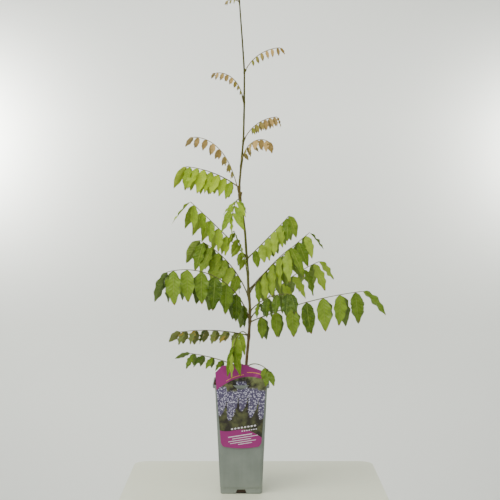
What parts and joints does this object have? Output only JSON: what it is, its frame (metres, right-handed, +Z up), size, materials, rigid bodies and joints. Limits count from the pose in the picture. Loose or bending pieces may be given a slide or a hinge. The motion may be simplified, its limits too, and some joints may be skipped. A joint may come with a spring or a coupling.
{
  "type": "wisteria in a pot",
  "caption": "Young wisteria shoot with long compound leaves, rooted in a tall square nursery pot with a picture label hooked over its rim.",
  "frame": {"origin": "centre of the pot's base, on the surface that the pot stands on", "axes": "+Z up; -Y is the front, where the label hangs; +X is the right as seen from the front"},
  "size_m": [0.4658, 0.2341, 1.0629],
  "materials": {
    "pot": "matte",
    "soil": "matte",
    "label": "satin",
    "stem": "matte",
    "leaf_deep": "matte",
    "leaf_dull": "matte",
    "leaf_mid": "matte",
    "leaf_fresh": "matte",
    "leaf_bright": "matte",
    "leaf_bronze": "matte"
  },
  "bodies": {
    "root": {"pot": "pot", "soil": "soil", "label": "label", "stem": "stem", "leaf_01_lower_left": "leaf_deep", "leaf_02_over_label": "leaf_deep", "leaf_03_curled_left": "leaf_dull", "leaf_04_front_drooping": "leaf_mid", "leaf_05_long_right": "leaf_deep", "leaf_06_back_right": "leaf_mid", "leaf_07_dark_right": "leaf_deep", "leaf_08_left_long": "leaf_deep", "leaf_09_front_right": "leaf_mid", "leaf_10_back": "leaf_mid", "leaf_11_left_mid": "leaf_mid", "leaf_12_right_far": "leaf_mid", "leaf_13_front_small": "leaf_fresh", "leaf_14_right_upper": "leaf_mid", "leaf_15_left_upper": "leaf_fresh", "leaf_16_front_upper": "leaf_fresh", "leaf_17_bright_left": "leaf_bright", "leaf_18_bronze_left_long": "leaf_bronze", "leaf_19_bronze_right_low": "leaf_bronze", "leaf_20_bronze_right_mid": "leaf_bronze", "leaf_21_bronze_left_high": "leaf_bronze", "leaf_22_bronze_right_high": "leaf_bronze", "leaf_23_tip_left": "leaf_bronze", "leaf_24_tip_right": "leaf_bronze"}
  },
  "joints": []
}
